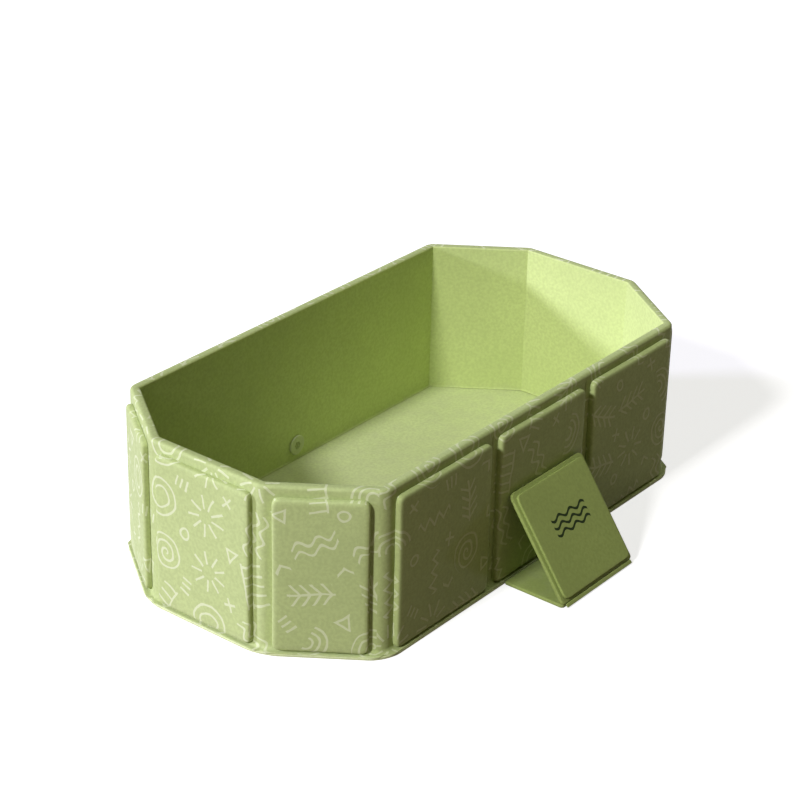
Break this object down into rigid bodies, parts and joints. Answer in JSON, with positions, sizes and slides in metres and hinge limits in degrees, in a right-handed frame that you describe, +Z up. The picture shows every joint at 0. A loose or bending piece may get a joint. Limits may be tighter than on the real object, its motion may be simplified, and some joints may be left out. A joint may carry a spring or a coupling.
{
  "type": "folding baby bathtub",
  "caption": "Folding floor-standing tub of padded wall panels round one floor sheet, in a long octagon, with a leaning cover flap in front and a drain low in the back wall.",
  "frame": {"origin": "centre of the tub's underside, on the surface it stands on; the cover flap in front is not counted", "axes": "+X along the tub, -Y towards the front with the cover flap, +Z up"},
  "size_m": [1.488, 0.9897, 0.42],
  "materials": {
    "tub_skin": "soft-touch embossed vinyl skin, pale green",
    "pad_skin": "soft-touch embossed vinyl over foam, pale green with a pale line print",
    "fold_skin": "soft-touch vinyl at the folds",
    "flap_skin": "plain soft-touch vinyl over board",
    "foam_board": "closed-cell foam board, unseen",
    "drain_plastic": "moulded plastic, satin",
    "seal_rubber": "soft rubber, matt"
  },
  "bodies": {
    "front_wall": {"floor_sheet": "tub_skin", "front_left_sleeve": "tub_skin", "front_left_board": "foam_board", "front_left_pad": "pad_skin", "front_middle_sleeve": "tub_skin", "front_middle_board": "foam_board", "front_middle_pad": "pad_skin", "front_middle_crease": "fold_skin", "front_right_sleeve": "tub_skin", "front_right_board": "foam_board", "front_right_pad": "pad_skin", "front_right_crease": "fold_skin", "front_left_column": "fold_skin", "front_right_column": "fold_skin"},
    "right_front_wall": {"right_front_sleeve": "tub_skin", "right_front_board": "foam_board", "right_front_pad": "pad_skin", "right_front_column": "fold_skin"},
    "right_end_wall": {"right_end_sleeve": "tub_skin", "right_end_board": "foam_board", "right_end_pad": "pad_skin", "right_back_column": "fold_skin"},
    "right_back_wall": {"right_back_sleeve": "tub_skin", "right_back_board": "foam_board", "right_back_pad": "pad_skin", "back_right_column": "fold_skin"},
    "back_wall": {"back_right_sleeve": "tub_skin", "back_right_board": "foam_board", "back_right_pad": "pad_skin", "back_middle_sleeve": "tub_skin", "back_middle_board": "foam_board", "back_middle_pad": "pad_skin", "back_middle_crease": "fold_skin", "back_left_sleeve": "tub_skin", "back_left_board": "foam_board", "back_left_pad": "pad_skin", "back_left_crease": "fold_skin", "back_left_column": "fold_skin", "drain_body": "drain_plastic", "drain_gasket": "seal_rubber", "drain_nut": "drain_plastic"},
    "left_back_wall": {"left_back_sleeve": "tub_skin", "left_back_board": "foam_board", "left_back_pad": "pad_skin"},
    "left_end_wall": {"left_end_sleeve": "tub_skin", "left_end_board": "foam_board", "left_end_pad": "pad_skin", "left_back_column": "fold_skin"},
    "left_front_wall": {"left_front_sleeve": "tub_skin", "left_front_board": "foam_board", "left_front_pad": "pad_skin", "left_front_column": "fold_skin"},
    "flap_spine": {"flap_spine": "flap_skin"},
    "flap_fold": {"flap_fold_strip": "fold_skin"},
    "flap_cover": {"flap_cover_board": "flap_skin", "flap_cover_pad": "flap_skin"},
    "drain_knob": {"drain_knob": "drain_plastic"}
  },
  "joints": [
    {"name": "wall_fold", "type": "hinge", "parent": "front_wall", "child": "right_front_wall", "pos_m": [0.54892, -0.356, 0], "axis": [0, 0, -1], "range_deg": [0, 54.3], "deforming": ["front_right_column"]},
    {"name": "right_end_fold", "type": "hinge", "parent": "right_front_wall", "child": "right_end_wall", "pos_m": [0.693, -0.15507, 0], "axis": [0, 0, 1], "range_deg": [0, 144.4], "deforming": ["right_front_column"]},
    {"name": "right_back_fold", "type": "hinge", "parent": "right_end_wall", "child": "right_back_wall", "pos_m": [0.693, 0.15507, 0], "axis": [0, 0, -1], "range_deg": [0, 35.8], "deforming": ["right_back_column"]},
    {"name": "back_fold", "type": "hinge", "parent": "right_back_wall", "child": "back_wall", "pos_m": [0.54892, 0.356, 0], "axis": [0, 0, -1], "range_deg": [0, 54.3], "deforming": ["back_right_column"]},
    {"name": "left_front_fold", "type": "hinge", "parent": "front_wall", "child": "left_front_wall", "pos_m": [-0.54892, -0.356, 0], "axis": [0, 0, 1], "range_deg": [0, 54.3], "deforming": ["front_left_column"]},
    {"name": "left_end_fold", "type": "hinge", "parent": "left_front_wall", "child": "left_end_wall", "pos_m": [-0.693, -0.15507, 0], "axis": [0, 0, 1], "range_deg": [0, 35.8], "deforming": ["left_front_column"]},
    {"name": "left_back_fold", "type": "hinge", "parent": "left_end_wall", "child": "left_back_wall", "pos_m": [-0.693, 0.15507, 0], "axis": [0, 0, -1], "range_deg": [0, 144.4], "deforming": ["left_back_column", "back_left_column"]},
    {"name": "spine_lift", "type": "hinge", "parent": "front_wall", "child": "flap_spine", "pos_m": [0, -0.4076, 0.009], "axis": [-1, 0, 0], "range_deg": [0, 88]},
    {"name": "fold_follow", "type": "hinge", "parent": "flap_spine", "child": "flap_fold", "pos_m": [0, -0.5816, 0.0025], "axis": [1, 0, 0], "range_deg": [0, 123.9]},
    {"name": "cover_open", "type": "hinge", "parent": "flap_fold", "child": "flap_cover", "pos_m": [0, -0.57705, 0.01153], "axis": [1, 0, 0], "range_deg": [0, 125.1]},
    {"name": "drain_turn", "type": "hinge", "parent": "back_wall", "child": "drain_knob", "pos_m": [0, 0.395, 0.046], "axis": [0, 1, 0], "range_deg": [0, 90]}
  ],
  "couplings": [
    {"joint": "right_end_fold", "follows": "wall_fold", "ratio": 2.6557},
    {"joint": "right_back_fold", "follows": "wall_fold", "ratio": 0.65573},
    {"joint": "back_fold", "follows": "wall_fold", "ratio": 1},
    {"joint": "left_front_fold", "follows": "wall_fold", "ratio": 1},
    {"joint": "left_end_fold", "follows": "wall_fold", "ratio": 0.65573},
    {"joint": "left_back_fold", "follows": "wall_fold", "ratio": 2.6557},
    {"joint": "fold_follow", "follows": "spine_lift", "ratio": 1.4062}
  ]
}
